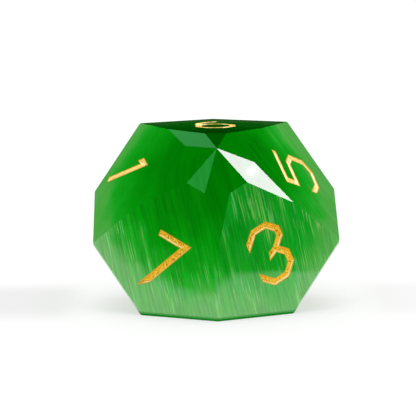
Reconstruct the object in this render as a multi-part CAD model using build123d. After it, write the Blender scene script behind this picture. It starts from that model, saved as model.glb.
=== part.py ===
from build123d import *
from dataclasses import dataclass
import os
from math import cos, hypot, pi, radians, sin, tan

# A ten-sided die cut from solid glass: a pentagonal trapezohedron with a small gem-cut
# crown at each pole and an engraved numeral, lined with paint, on every face.
# Millimetres, +Z up. The die lies on its 0 face. The origin is on the table below the
# die's centre, and the pole of the odd numerals looks towards -Y and upwards.

# Body
FACE_TO_FACE = 16.0       # across two opposite faces, which are parallel
FACE_TILT = 49.47         # degrees between the pole axis and a line square to a face
FACES = 10
EDGE_BEVEL = 0.30         # width of the ground flat along each edge of the girdle
CORNER_CUT = 0.18         # depth ground off each corner of the girdle

# Crown, measured from the sharp point where the faces would meet
CROWN_DROP = 1.33         # how far below that point the crown's tip lies
KITE_REACH = 9.74         # down each long edge to the tip of its kite facet
TRIANGLE_REACH = 4.84     # down the middle of each face to the foot of its triangle

# Numerals, cut with a tapered engraving tool
NUMERAL_HEIGHT = 5.7
NUMERAL_WIDTH = 3.65
STROKE = 0.62             # width of a groove at the face
CORNER = 0.85             # size of the 45 degree corners that stand in for curves
GROOVE_DEPTH = 0.30
GROOVE_DRAFT = 16.0       # lean of a groove's walls, in degrees
NUMERAL_DROP = 2.55       # from the middle of a face down to the middle of its numeral

# Paint that lines each groove
PAINT_SETBACK = 0.01      # its rim lies this far under the face
PAINT_WALL = 0.07
PAINT_FLOOR = 0.08

# From the top face round the girdle, clockwise as seen from the odd numerals' pole.
# Opposite faces add up to nine.
NUMERALS = (9, 2, 5, 8, 3, 0, 7, 4, 1, 6)

# The engraver set these off the usual place: (to the right, upwards)
SET_OFF = {
    1: (-1.15, -1.35),
    3: (0.20, 0.20),
    5: (0.10, -0.05),
    7: (0.05, -0.75),
    9: (-0.10, -0.45),
}

MID_HEIGHT = FACE_TO_FACE / 2
STEP = 360 / FACES
TILT = radians(FACE_TILT)
SHARP_POLE = MID_HEIGHT / cos(TILT)
CROWN_TIP = SHARP_POLE - CROWN_DROP
GIRDLE_RADIUS = MID_HEIGHT / (sin(TILT) * cos(pi / FACES) ** 2)
ZIGZAG = SHARP_POLE * tan(pi / FACES) ** 2


# ---- Body, with the pole axis along Z and the centre at the origin ----

def azimuth(index):
    """Direction of a face's low corner; the first one points along +Y."""
    return radians(90 - STEP * index)


def pole_side(index):
    """1 for a face round the upper pole, -1 for one round the lower pole."""
    return 1 if index % 2 == 0 else -1


def around(angle, radius, height):
    return Vector(radius * cos(angle), radius * sin(angle), height)


def face_normal(index):
    return around(azimuth(index), sin(TILT), pole_side(index) * cos(TILT))


def girdle_corner(index):
    return around(azimuth(index), GIRDLE_RADIUS, -pole_side(index) * ZIGZAG)


def face_plane(index):
    """The plane of a face, with Y towards its pole and Z outwards."""
    outward = face_normal(index)
    upward = around(azimuth(index), -cos(TILT), pole_side(index) * sin(TILT))
    return Plane(outward * MID_HEIGHT, x_dir=upward.cross(outward), z_dir=outward)


def bevel_plane(index):
    """The ground flat on the girdle edge from this corner to the next."""
    first = face_normal(index)
    second = face_normal(index + 1)
    outward = (first + second).normalized()
    half_turn = radians(first.get_angle(second)) / 2
    cut = EDGE_BEVEL / 2 * tan(half_turn)
    return Plane(outward * (girdle_corner(index).dot(outward) - cut), z_dir=outward)


def corner_plane(index):
    corner = girdle_corner(index)
    outward = corner.normalized()
    return Plane(corner - outward * CORNER_CUT, z_dir=outward)


def crown_plane(index, side, reach):
    """A crown facet from the tip on one side to a point reached along the azimuth."""
    corner = girdle_corner(index)
    sharp = Vector(0, 0, side * SHARP_POLE)
    foot = sharp + (corner - sharp).normalized() * reach
    drop = CROWN_TIP - side * foot.Z
    outward = around(azimuth(index), drop, side * hypot(foot.X, foot.Y)).normalized()
    return Plane(Vector(0, 0, side * CROWN_TIP), z_dir=outward)


def cutting_planes():
    planes = []
    for index in range(FACES):
        side = pole_side(index)
        planes.append(face_plane(index))
        planes.append(bevel_plane(index))
        planes.append(corner_plane(index))
        planes.append(crown_plane(index, side, TRIANGLE_REACH))
        planes.append(crown_plane(index, -side, KITE_REACH))
    return planes


def cut_body():
    """The blank is larger than the die, and each plane takes off what lies beyond it."""
    blank = 4 * max(SHARP_POLE, GIRDLE_RADIUS)
    body = Box(blank, blank, blank)
    for plane in cutting_planes():
        body = split(body, bisect_by=plane, keep=Keep.BOTTOM)
    return body


# ---- Numerals, each a list of strokes drawn about its own middle ----

@dataclass
class Stroke:
    """One run of the tool. The cut across each end may be turned from square, in degrees."""
    points: list
    start_turn: float = 0
    end_turn: float = 0


RIGHT = (NUMERAL_WIDTH - STROKE) / 2
TOP = (NUMERAL_HEIGHT - STROKE) / 2
UPRIGHT = 45              # turns the cut across a diagonal's end until it stands upright


def loop(left, right, low, high):
    """A closed stroke: a rectangle with its corners cut, drawn clockwise."""
    return Stroke([
        (left + CORNER, high), (right - CORNER, high),
        (right, high - CORNER), (right, low + CORNER),
        (right - CORNER, low), (left + CORNER, low),
        (left, low + CORNER), (left, high - CORNER),
        (left + CORNER, high),
    ])


def zero():
    return [loop(-RIGHT, RIGHT, -TOP, TOP)]


def one():
    stem = 0.3
    flag = 0.65
    return [Stroke([(stem, -TOP), (stem, TOP), (stem - flag, TOP - flag)], end_turn=-UPRIGHT)]


def two():
    slant_start = 0.4
    path = [
        (-RIGHT, TOP - CORNER), (-RIGHT + CORNER, TOP), (RIGHT - CORNER, TOP),
        (RIGHT, TOP - CORNER), (RIGHT, slant_start), (-RIGHT, -TOP), (RIGHT, -TOP),
    ]
    return [Stroke(path, start_turn=-UPRIGHT)]


def bowl(waist, side):
    """Half of a three, from its waist to its open end; side is 1 above and -1 below."""
    end = side * TOP
    shoulder = end - side * CORNER
    path = [
        (RIGHT - CORNER, waist), (RIGHT, waist + side * CORNER), (RIGHT, shoulder),
        (RIGHT - CORNER, end), (-RIGHT + CORNER, end), (-RIGHT, shoulder),
    ]
    return Stroke(path, end_turn=-side * UPRIGHT)


def three():
    waist = 0.15
    nub_end = 0.1
    nub_sag = 0.25
    nub_turn = -40
    nub = Stroke([(RIGHT - CORNER, waist), (nub_end, waist - nub_sag)], end_turn=nub_turn)
    return [bowl(waist, 1), bowl(waist, -1), nub]


def four():
    bar_height = -0.75
    stem = 0.7
    return [
        Stroke([(stem, TOP), (-RIGHT, bar_height), (RIGHT, bar_height)]),
        Stroke([(stem, TOP), (stem, -TOP)]),
    ]


def five():
    shelf = 0.85
    slope = 0.1
    belly = RIGHT + 0.2
    foot = -TOP - 0.1
    path = [
        (RIGHT - slope, TOP + slope), (-RIGHT, TOP - slope), (slope - RIGHT, shelf),
        (belly - CORNER, shelf + slope), (belly, shelf + slope - CORNER),
        (belly, foot + CORNER), (belly - CORNER, foot), (CORNER - RIGHT, foot),
        (-RIGHT, foot + CORNER),
    ]
    return [Stroke(path, end_turn=UPRIGHT)]


def seven():
    start = 0.35 - RIGHT
    corner = RIGHT - 0.2
    heel = 0.65 - RIGHT
    foot = 0.35 - TOP
    chisel_turn = 64
    return [Stroke([(start, TOP), (corner, TOP), (heel, foot)], end_turn=chisel_turn)]


def eight():
    waist = 0.25
    inset = 0.15
    return [loop(inset - RIGHT, RIGHT - inset, waist, TOP), loop(-RIGHT, RIGHT, -TOP, waist)]


def nine():
    loop_foot = -0.6
    sweep = 1.3
    tail = Stroke([
        (RIGHT, loop_foot + CORNER), (RIGHT, sweep - TOP), (RIGHT - CORNER, STROKE / 2 - TOP),
        (0, -TOP),
    ])
    return [loop(-RIGHT, RIGHT, loop_foot, TOP), tail]


def six():
    return [Stroke([(-x, -y) for x, y in stroke.points]) for stroke in nine()]


SHAPES = (zero, one, two, three, four, five, six, seven, eight, nine)


# ---- Engraving and paint ----

def mitred(stroke, inset):
    """The two edges of a stroke, set in from its walls, which meet the next run's at corners."""
    half = STROKE / 2 - inset
    points = [Vector(*point) for point in stroke.points]
    closed = points[0] == points[-1]
    if closed:
        points.pop()
    before = points[-1:] + points[:-1]
    after = points[1:] + points[:1]
    if not closed:
        start = (points[0] - points[1]).normalized()
        end = (points[-1] - points[-2]).normalized()
        points[0] += start * (STROKE / 2 - inset / cos(radians(stroke.start_turn)))
        points[-1] += end * (STROKE / 2 - inset / cos(radians(stroke.end_turn)))
        before[0] = points[0] + start.rotate(Axis.Z, 2 * stroke.start_turn)
        after[-1] = points[-1] + end.rotate(Axis.Z, 2 * stroke.end_turn)
    left = []
    right = []
    for last, here, following in zip(before, points, after):
        inward = (here - last).normalized()
        onward = (following - here).normalized()
        turn = (inward + onward).rotate(Axis.Z, 90)
        reach = turn * (half / (1 + inward.dot(onward)))
        left.append(here + reach)
        right.append(here - reach)
    return left, right, closed


def tapered(outline, depth, lean):
    return extrude(make_face(Polyline(*outline, close=True)), amount=-depth, taper=lean)


def cut_stroke(stroke, inset, depth):
    """What the tool takes out along one stroke, set in from the groove's walls."""
    left, right, closed = mitred(stroke, inset)
    if closed:
        return tapered(left, depth, GROOVE_DRAFT) - tapered(right, depth, -GROOVE_DRAFT)
    return tapered(left + right[::-1], depth, GROOVE_DRAFT)


def cut(strokes, inset, depth):
    solid = cut_stroke(strokes[0], inset, depth)
    for stroke in strokes[1:]:
        solid += cut_stroke(stroke, inset, depth)
    return solid


def groove(strokes):
    return cut(strokes, 0, GROOVE_DEPTH)


def paint(strokes):
    """A thin channel: a floor and two walls, with the rim a little under the face."""
    lining = groove(strokes) - cut(strokes, PAINT_WALL, GROOVE_DEPTH - PAINT_FLOOR)
    return split(lining, bisect_by=Plane.XY.offset(-PAINT_SETBACK), keep=Keep.BOTTOM)


def numeral_plane(index):
    across, upward = SET_OFF.get(NUMERALS[index], (0, 0))
    plane = face_plane(index)
    place = plane.x_dir * across + plane.y_dir * (upward - NUMERAL_DROP)
    return Plane(plane.origin + place, x_dir=plane.x_dir, z_dir=plane.z_dir)


STAND = Pos(0, 0, MID_HEIGHT) * Rot(X=FACE_TILT)

os.makedirs("parts", exist_ok=True)

body = cut_body()
for index, numeral in enumerate(NUMERALS):
    strokes = SHAPES[numeral]()
    on_face = numeral_plane(index).location
    body -= on_face * groove(strokes)
    export_step(STAND * on_face * paint(strokes), f"parts/numeral_{numeral}.step")
export_step(STAND * body, "parts/die_body.step")
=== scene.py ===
from math import cos, pi, radians, sin

import bpy
from mathutils import Matrix, Vector


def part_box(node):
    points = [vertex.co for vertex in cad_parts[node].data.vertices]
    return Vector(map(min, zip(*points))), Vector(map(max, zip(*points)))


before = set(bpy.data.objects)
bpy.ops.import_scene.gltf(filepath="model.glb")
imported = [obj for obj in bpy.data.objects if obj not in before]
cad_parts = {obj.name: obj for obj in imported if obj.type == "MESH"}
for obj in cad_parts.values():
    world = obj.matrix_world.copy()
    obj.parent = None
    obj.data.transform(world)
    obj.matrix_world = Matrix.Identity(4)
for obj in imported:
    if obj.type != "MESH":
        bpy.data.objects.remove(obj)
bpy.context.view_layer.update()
bpy.ops.object.select_all(action="DESELECT")


# ---- Glass body ----
# The die is ground from a block of green glass fibres fused side by side, so it is cloudy
# and full of fine parallel streaks. Its faces are polished, and its thin girdle and the
# part near the table let more light through than its deep middle; that light is painted
# into its colour as paler green, and some shade is painted in as darker green.

MM = 0.001
low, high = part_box("die_body")
MIDDLE = (low + high) / 2
FACE_TILT = radians(49.47)                    # from the pole axis to square to a face
GIRDLE = 11.64 * MM                           # from the pole axis to a corner
CROWN_SLOPE = 0.67                            # facets that face a pole more than this are the crown's
POLE_AXIS = Matrix.Rotation(FACE_TILT, 3, "X") @ Vector((0, 0, 1))

FIBRES = Vector((0.262, 0.050, -0.964))       # the way the fibres run
SKEW = (0.002, 0.0007)                        # of the painted pale rim to the right, and its rise per mm up
GLOW_PATCH_SIDE = (0.447, -0.894, -0.045)          # the way the face with the painted glow patch looks
GLOW_PATCH_SPOT = (4.0, -7.0, 1.5)                 # middle of the painted glow patch, in mm from the die's middle
GLOW_PATCH_GREEN = (0.004, 0.268, 0.012)
BLUISH_FIBRE = (0.14, 0.46, 0.17)
YELLOWISH_FIBRE = (0.24, 0.50, 0.13)
EDGE_SHADE_GREEN = (0.001, 0.270, 0.006)            # painted shade on the ground edge round the resting face, next to the table
END_ON_SHADE = 0.45                           # painted shade of a face that looks along the fibres


def add(tree, kind, **settings):
    """A node with its attributes set by name."""
    node = tree.nodes.new(kind)
    for name, value in settings.items():
        setattr(node, name, value)
    return node


def new_material(name):
    material = bpy.data.materials.new(name)
    material.use_nodes = True
    tree = material.node_tree
    return material, tree, tree.nodes["Principled BSDF"]


def feed(tree, socket, value):
    """Links another node's output to a socket, or sets a fixed value there."""
    if isinstance(value, bpy.types.NodeSocket):
        tree.links.new(value, socket)
    elif socket.type == "RGBA":
        socket.default_value = (*value, 1)
    else:
        socket.default_value = value


def place(tree, size, turn=(0, 0, 0)):
    """Object coordinates from the die's middle, turned, with a given size as the unit."""
    mapping = add(tree, "ShaderNodeMapping", vector_type="TEXTURE")
    feed(tree, mapping.inputs["Vector"], add(tree, "ShaderNodeTexCoord").outputs["Object"])
    feed(tree, mapping.inputs["Location"], MIDDLE)
    feed(tree, mapping.inputs["Rotation"], turn)
    feed(tree, mapping.inputs["Scale"], (size, size, size))
    return mapping.outputs["Vector"]


def noise(tree, vector, detail=2.0, roughness=0.5):
    node = add(tree, "ShaderNodeTexNoise")
    feed(tree, node.inputs["Vector"], vector)
    feed(tree, node.inputs["Scale"], 1.0)
    feed(tree, node.inputs["Detail"], detail)
    feed(tree, node.inputs["Roughness"], roughness)
    return node.outputs["Fac"]


def spread(tree, value, start, end, low_value=0.0, high_value=1.0):
    """Maps a value smoothly from one range to another."""
    node = add(tree, "ShaderNodeMapRange", interpolation_type="SMOOTHSTEP")
    feed(tree, node.inputs["Value"], value)
    feed(tree, node.inputs["From Min"], start)
    feed(tree, node.inputs["From Max"], end)
    feed(tree, node.inputs["To Min"], low_value)
    feed(tree, node.inputs["To Max"], high_value)
    return node.outputs["Result"]


def maths(tree, operation, first, second=0.0):
    node = add(tree, "ShaderNodeMath", operation=operation)
    feed(tree, node.inputs[0], first)
    feed(tree, node.inputs[1], second)
    return node.outputs["Value"]


def times(tree, *values):
    """All the values multiplied together."""
    product = values[0]
    for value in values[1:]:
        product = maths(tree, "MULTIPLY", product, value)
    return product


def vector_maths(tree, operation, first, second=(0, 0, 0), output="Vector"):
    node = add(tree, "ShaderNodeVectorMath", operation=operation)
    feed(tree, node.inputs[0], first)
    feed(tree, node.inputs[1], second)
    return node.outputs[output]


def dot(tree, first, second):
    return vector_maths(tree, "DOT_PRODUCT", first, second, "Value")


def mix(tree, share, first, second):
    """Mixes two colours, each a socket or a fixed colour."""
    node = add(tree, "ShaderNodeMix", data_type="RGBA")
    feed(tree, node.inputs["Factor"], share)
    feed(tree, node.inputs["A"], first)
    feed(tree, node.inputs["B"], second)
    return node.outputs["Result"]


def ramp(tree, value, stops):
    """Runs through colours, each given at its place along the value."""
    node = add(tree, "ShaderNodeValToRGB")
    band = node.color_ramp
    while len(band.elements) < len(stops):
        band.elements.new(0.5)
    for element, (position, rgb) in zip(band.elements, stops):
        element.position = position
        element.color = (*rgb, 1)
    feed(tree, node.inputs["Fac"], value)
    return node.outputs["Color"]


def bump(tree, height, strength, distance):
    node = add(tree, "ShaderNodeBump")
    feed(tree, node.inputs["Height"], height)
    feed(tree, node.inputs["Strength"], strength)
    feed(tree, node.inputs["Distance"], distance)
    return node.outputs["Normal"]


glass, tree, shader = new_material("fibre_glass")
spot = place(tree, MM)
rightward = dot(tree, spot, (1, 0, 0))
height = dot(tree, spot, (0, 0, 1))
facing = add(tree, "ShaderNodeNewGeometry").outputs["True Normal"]

# Deep green in the middle, and paler and cloudier towards the girdle; the paleness is
# painted light, coming through the thin glass there.
to_pole = vector_maths(tree, "MULTIPLY", place(tree, GIRDLE, (FACE_TILT, 0, 0)), (1, 1, 0))
off_axis = vector_maths(tree, "LENGTH", to_pole, output="Value")
clouds = noise(tree, place(tree, 2.6 * MM), 3.0)
off_axis = maths(tree, "ADD", off_axis, spread(tree, clouds, 0.25, 0.75, -0.05, 0.05))
skew = maths(tree, "ADD", SKEW[0], times(tree, height, SKEW[1]))
off_axis = maths(tree, "ADD", off_axis, times(tree, rightward, skew))
colour = ramp(tree, off_axis, (
    (0.00, (0.0000, 0.160, 0.000)),
    (0.40, (0.0003, 0.178, 0.001)),
    (0.58, (0.0015, 0.255, 0.003)),
    (0.74, (0.0070, 0.330, 0.012)),
    (0.80, (0.0220, 0.345, 0.024)),
    (0.86, (0.0580, 0.362, 0.046)),
    (0.94, (0.0800, 0.358, 0.064)),
    (1.00, (0.0860, 0.360, 0.068)),
))

# Each face shows the fibres as lines along the way they run through it. A face that looks
# along them shows hardly any, and the small facets of the crown show only the broad ones.
end_on = maths(tree, "ABSOLUTE", dot(tree, facing, FIBRES))
across = vector_maths(tree, "NORMALIZE", vector_maths(tree, "CROSS_PRODUCT", facing, FIBRES))
along = vector_maths(tree, "CROSS_PRODUCT", across, facing)
run = add(tree, "ShaderNodeCombineXYZ")
for axis, way in zip("XYZ", (across, along, facing)):
    feed(tree, run.inputs[axis], dot(tree, spot, way))
crown = maths(tree, "ABSOLUTE", dot(tree, facing, POLE_AXIS))
off_crown = spread(tree, crown, CROWN_SLOPE + 0.01, CROWN_SLOPE - 0.01)
side_on = times(tree, off_crown, spread(tree, end_on, 0.50, 0.15, 0.03, 1.0))


def lines(width, length, detail=2.0, roughness=0.5):
    """Noise drawn out along the fibres, with its width and length in mm."""
    drawn = vector_maths(tree, "MULTIPLY", run.outputs["Vector"], (1 / width, 1 / length, 0.7))
    return noise(tree, drawn, detail, roughness)


# Painted light: one face has a pale glowing patch, where light caught inside the glass comes out.
glow_patch = spread(tree, vector_maths(tree, "DISTANCE", spot, GLOW_PATCH_SPOT, "Value"), 8.5, 2.5)
glow_patch = times(tree, glow_patch, off_crown, spread(tree, dot(tree, facing, GLOW_PATCH_SIDE), 0.90, 0.95),
             spread(tree, clouds, 0.3, 0.6, 0.5, 1.0))
colour = mix(tree, glow_patch, colour, GLOW_PATCH_GREEN)

# The palest fibres stand out as fine lines, mostly near the girdle and in the painted glow patch.
pale_parts = maths(tree, "MAXIMUM", spread(tree, off_axis, 0.56, 0.88, 0.01, 1.0),
                   times(tree, glow_patch, 0.5))
patches = spread(tree, lines(0.9, 4.0), 0.40, 0.64, 0.10, 1.0)
hairs = spread(tree, lines(0.09, 2.6, 0.0), 0.61, 0.67, 0.0, 0.85)
threads = spread(tree, lines(0.17, 4.5, 0.0), 0.66, 0.70, 0.0, 0.90)
streaks = times(tree, maths(tree, "MAXIMUM", hairs, threads), patches, pale_parts, side_on)
tint = mix(tree, spread(tree, lines(0.6, 3.0), 0.4, 0.6), BLUISH_FIBRE, YELLOWISH_FIBRE)
colour = mix(tree, streaks, colour, tint)

# The other fibres vary a little from dark to light.
bands = times(tree, spread(tree, lines(0.55, 12.0, 3.0, 0.6), 0.25, 0.75, -0.16, 0.16),
              spread(tree, end_on, 0.95, 0.15, 0.15, 1.0))
fine_bands = times(tree, spread(tree, lines(0.12, 4.0, 1.0), 0.35, 0.65, 0.02, 0.24), side_on)
tone_and_shade = maths(tree, "ADD", maths(tree, "ADD", bands, fine_bands), 1.0)
# Painted light: a little lighter near the table. Painted shade: darker on a face that looks along the
# fibres.
tone_and_shade = times(tree, tone_and_shade, spread(tree, height, -2.5, -6.5, 1.0, 1.06),
              spread(tree, end_on, 0.86, 0.96, 1.0, END_ON_SHADE))
grey = add(tree, "ShaderNodeCombineXYZ")
for axis in "XYZ":
    feed(tree, grey.inputs[axis], tone_and_shade)
colour = vector_maths(tree, "MULTIPLY", colour, grey.outputs["Vector"])
# Painted shade: the ground edge round the resting face is a darker, clearer green.
colour = mix(tree, spread(tree, height, -7.58, -7.72), colour, EDGE_SHADE_GREEN)
feed(tree, shader.inputs["Base Color"], colour)

# The polish is slightly uneven, and duller where a pale fibre breaks the surface.
polish = noise(tree, place(tree, 0.5 * MM), 4.0, 0.6)
dullness = times(tree, streaks, 0.15)
dullness = maths(tree, "ADD", dullness, spread(tree, polish, 0.3, 0.8, 0.02, 0.07))
feed(tree, shader.inputs["Roughness"], dullness)
relief = times(tree, maths(tree, "ADD", streaks, polish), 0.5)
feed(tree, shader.inputs["Normal"], bump(tree, relief, 0.12, 0.004 * MM))
shader.inputs["IOR"].default_value = 1.52
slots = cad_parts["die_body"].data.materials
slots.clear()
slots.append(glass)


# ---- Numerals ----
# Gold metallic paint, brushed into the engraved grooves and wiped off the faces. It is thin
# and orange along the rim, pale on the walls with a painted highlight on those that look
# upwards, and grainy and deeper gold on the floor. Some numerals are painted paler, as lit from above.

FACES = 10
NUMERALS = (9, 2, 5, 8, 3, 0, 7, 4, 1, 6)     # from the top face round the girdle
FACE_DEPTH = (high.z - low.z) / 2 / MM        # from the die's middle to a face, in mm
WALL_FOOT = (0.20, 0.225)                     # mm under the face, where a wall turns to floor
RIM = (0.05, 0.02)                            # mm under the face, where the thin paint begins
LIGHT_PALENESS = {1: 0.90, 5: 0.95, 9: 0.10}            # how much paler a numeral is painted, as lit from above; 0 in the other numerals


def face_normal(index):
    around = 2 * pi * index / FACES
    outward = Vector((sin(around) * sin(FACE_TILT), cos(around) * sin(FACE_TILT), 0))
    outward.z = cos(FACE_TILT) * (1 if index % 2 == 0 else -1)
    return Matrix.Rotation(FACE_TILT, 3, "X") @ outward


def gold_paint(digit, outward, pale):
    material, tree, shader = new_material(f"gold_paint_{digit}")
    facing = add(tree, "ShaderNodeNewGeometry").outputs["True Normal"]
    depth = maths(tree, "SUBTRACT", FACE_DEPTH, dot(tree, place(tree, MM), outward))
    grain = noise(tree, place(tree, 0.15 * MM))
    blotches = noise(tree, place(tree, 0.5 * MM))

    # pale mixes each colour towards a paler copy: painted light, for numerals that catch more light
    # from above.
    light_floor = mix(tree, pale, (1.00, 0.66, 0.030), (1.00, 0.90, 0.50))
    deep_floor = mix(tree, pale, (0.79, 0.36, 0.004), (0.95, 0.62, 0.10))
    speck = mix(tree, pale, (0.42, 0.16, 0.003), (0.85, 0.45, 0.05))
    specks = times(tree, spread(tree, grain, 0.46, 0.36), spread(tree, blotches, 0.35, 0.55, 0.3, 1.0))
    floor = mix(tree, spread(tree, grain, 0.38, 0.60), deep_floor, light_floor)
    floor = mix(tree, specks, floor, speck)

    # Painted highlight: walls that look upwards are painted bright, as if catching the light.
    dull_wall = mix(tree, pale, (0.95, 0.60, 0.025), (1.00, 0.84, 0.34))
    wall_highlight = mix(tree, pale, (1.00, 1.00, 0.550), (1.00, 0.97, 0.66))
    upward = dot(tree, facing, (0, 0, 1))
    upward = maths(tree, "ADD", upward, spread(tree, grain, 0.3, 0.7, -0.2, 0.2))
    wall = mix(tree, spread(tree, upward, 0.0, 0.35), dull_wall, wall_highlight)

    thin_paint = mix(tree, grain, (0.62, 0.26, 0.004), (0.85, 0.42, 0.02))
    rim_depth = maths(tree, "ADD", depth, spread(tree, blotches, 0.3, 0.7, -0.02, 0.02))
    colour = mix(tree, spread(tree, depth, *WALL_FOOT), wall, floor)
    colour = mix(tree, spread(tree, rim_depth, *RIM), colour, thin_paint)

    feed(tree, shader.inputs["Base Color"], colour)
    feed(tree, shader.inputs["Roughness"], spread(tree, grain, 0.3, 0.7, 0.32, 0.52))
    feed(tree, shader.inputs["Normal"], bump(tree, grain, 0.35, 0.03 * MM))
    shader.inputs["Metallic"].default_value = 0.12
    shader.inputs["Specular IOR Level"].default_value = 0.25
    return material


for index, digit in enumerate(NUMERALS):
    paint = gold_paint(digit, face_normal(index), LIGHT_PALENESS.get(digit, 0.0))
    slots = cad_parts[f"numeral_{digit}"].data.materials
    slots.clear()
    slots.append(paint)


# ---- Table ----
# A lit white table that runs off behind the die. Reflected rays alone see a glowing sheet of
# paper painted on it: reflections end at the sheet's near edge, past it the polished faces
# mirror a dark room, and close to the die the sheet is painted dark as shade. A faint soft
# shadow is painted into the table's glow on each side of the die.

TABLE = 4.0
REACH = 40 * MM                               # to the left and right of the die
PAPER_EDGE = (                                # mm to the right of the die, mm in front of it
    (-40, 25), (-32, 19.5), (-27, 17.5), (-19, 14.6), (-12, 13.3), (-6, 13.8),
    (10, 16.2), (15, 17), (18.5, 15), (20, 12.6), (24, 11), (40, 14),
)
PAPER_GLOW = 1.6                              # in reflections
LIT = (0.555, 0.80)                           # its own glow near the die and far behind it
LEFT_SHADOW = 0.14
RIGHT_SHADOW = 0.07

bpy.ops.mesh.primitive_plane_add(size=TABLE)
table = bpy.context.object
table.name = "table"
white, tree, shader = new_material("white_table")
shader.inputs["Base Color"].default_value = (0.35, 0.35, 0.35, 1)
shader.inputs["Roughness"].default_value = 0.9
shader.inputs["Specular IOR Level"].default_value = 0.0
shader.inputs["Emission Color"].default_value = (1, 1, 1, 1)
position = add(tree, "ShaderNodeSeparateXYZ")
feed(tree, position.inputs["Vector"], add(tree, "ShaderNodeTexCoord").outputs["Object"])
rightward = position.outputs["X"]
backward = position.outputs["Y"]

# Painted shadow: the table's glow is lowered in a soft band on each side of the die.
shadow = maths(tree, "ADD", spread(tree, rightward, -11 * MM, -15 * MM, 0.0, LEFT_SHADOW),
               spread(tree, rightward, 12 * MM, 16 * MM, 0.0, RIGHT_SHADOW))
shadow = times(tree, shadow,
               spread(tree, maths(tree, "ABSOLUTE", rightward), 60 * MM, 25 * MM),
               spread(tree, backward, 14 * MM, 6 * MM),
               spread(tree, backward, -10 * MM, -1 * MM))
glow = maths(tree, "SUBTRACT", spread(tree, backward, 0.01, 0.40, *LIT), shadow)
feed(tree, shader.inputs["Emission Strength"], glow)

sideways = add(tree, "ShaderNodeMapRange")
feed(tree, sideways.inputs["Value"], rightward)
feed(tree, sideways.inputs["From Min"], -REACH)
feed(tree, sideways.inputs["From Max"], REACH)
stops = [((x * MM + REACH) / (2 * REACH), (y * MM / REACH,) * 3) for x, y in PAPER_EDGE]
edge = times(tree, ramp(tree, sideways.outputs["Result"], stops), REACH)
on_paper = spread(tree, maths(tree, "ADD", backward, edge), -1.3 * MM, 1.3 * MM, 0.0, PAPER_GLOW)
# Painted shade in reflections: where the die is close, the sheet's glow is masked off.
near = add(tree, "ShaderNodeAmbientOcclusion")
near.inputs["Distance"].default_value = 2.5 * MM
clear_of_die = spread(tree, near.outputs["AO"], 0.35, 0.75)
mirrored = add(tree, "ShaderNodeEmission")
feed(tree, mirrored.inputs["Strength"], times(tree, on_paper, clear_of_die))
reflections = add(tree, "ShaderNodeMixShader")
feed(tree, reflections.inputs["Fac"], add(tree, "ShaderNodeLightPath").outputs["Is Glossy Ray"])
feed(tree, reflections.inputs[1], shader.outputs["BSDF"])
feed(tree, reflections.inputs[2], mirrored.outputs["Emission"])
feed(tree, tree.nodes["Material Output"].inputs["Surface"], reflections.outputs["Shader"])
table.data.materials.append(white)


# ---- Studio ----
# A bright room, which reflections see dark, with lamps and cards round the die. Three
# facets of the crown mirror them: the white one a softbox on the right and its bulb, and
# two dim ones the green cards on the left and behind.

ROOM = 0.9
BULB = (0.2533, -0.0333, 0.1357)              # mirrored a little above the white facet's middle

world = bpy.data.worlds.new("studio")
bpy.context.scene.world = world
world.use_nodes = True
tree = world.node_tree
background = tree.nodes["Background"]
background.inputs["Color"].default_value = (1, 1, 1, 1)
rays = add(tree, "ShaderNodeLightPath").outputs
lit = times(tree, maths(tree, "SUBTRACT", 1.0, rays["Is Glossy Ray"]), ROOM)
feed(tree, background.inputs["Strength"], maths(tree, "MAXIMUM", rays["Is Camera Ray"], lit))


def aim(thing, target, roll=0.0):
    direction = Vector(target) - thing.location
    thing.rotation_euler = direction.to_track_quat("-Z", "Y").to_euler()
    thing.rotation_euler.rotate_axis("Z", roll)


def from_angle(azimuth, elevation, distance):
    """A place seen from the die at an azimuth (0 in front, 90 on the right) and height."""
    turn = Matrix.Rotation(radians(azimuth), 3, "Z") @ Matrix.Rotation(radians(-elevation), 3, "X")
    return MIDDLE + turn @ Vector((0, -distance, 0))


def lamp(name, angles, distance, size, glow, colour=(1, 1, 1), shape="SQUARE", diffuse=False):
    """A flat lamp that faces the die; glow is its brightness, with white paper at 1."""
    data = bpy.data.lights.new(name, "AREA")
    data.shape = shape
    data.size = size
    data.energy = glow * pi * size ** 2
    data.color = colour
    light = bpy.data.objects.new(name, data)
    bpy.context.scene.collection.objects.link(light)
    light.location = from_angle(*angles, distance)
    aim(light, MIDDLE)
    light.visible_diffuse = diffuse
    return light


lamp("right_softbox", (84, 26), 0.30, 0.12, 16.6, (1.0, 0.87, 0.99))
bulb = lamp("softbox_bulb", (84, 26), 0.28, 0.0016, 9, shape="DISK")
bulb.location = BULB
lamp("back_card", (-161, 35), 0.30, 0.10, 1.25, (0.17, 1.0, 0.30))
lamp("left_card", (-41, 10), 0.30, 0.10, 2.6, (0.13, 1.0, 0.26))
lamp("overhead", (0, 85), 0.40, 0.30, 3.2, diffuse=True)


# ---- Camera ----
# A long lens a hand's length in front of the die, a little above it, and looking slightly
# down. It is rolled by about half a degree, and nothing is out of focus.

camera_data = bpy.data.cameras.new("camera")
camera = bpy.data.objects.new("camera", camera_data)
bpy.context.scene.collection.objects.link(camera)
camera_data.lens = 194.3
camera_data.sensor_width = 36
camera_data.clip_start = 0.01
camera.location = (-0.0039, -0.1999, 0.0370)
aim(camera, (-0.00066, 0, 0.00919), radians(-0.48))
bpy.context.scene.camera = camera
bpy.context.scene.view_settings.view_transform = "Standard"
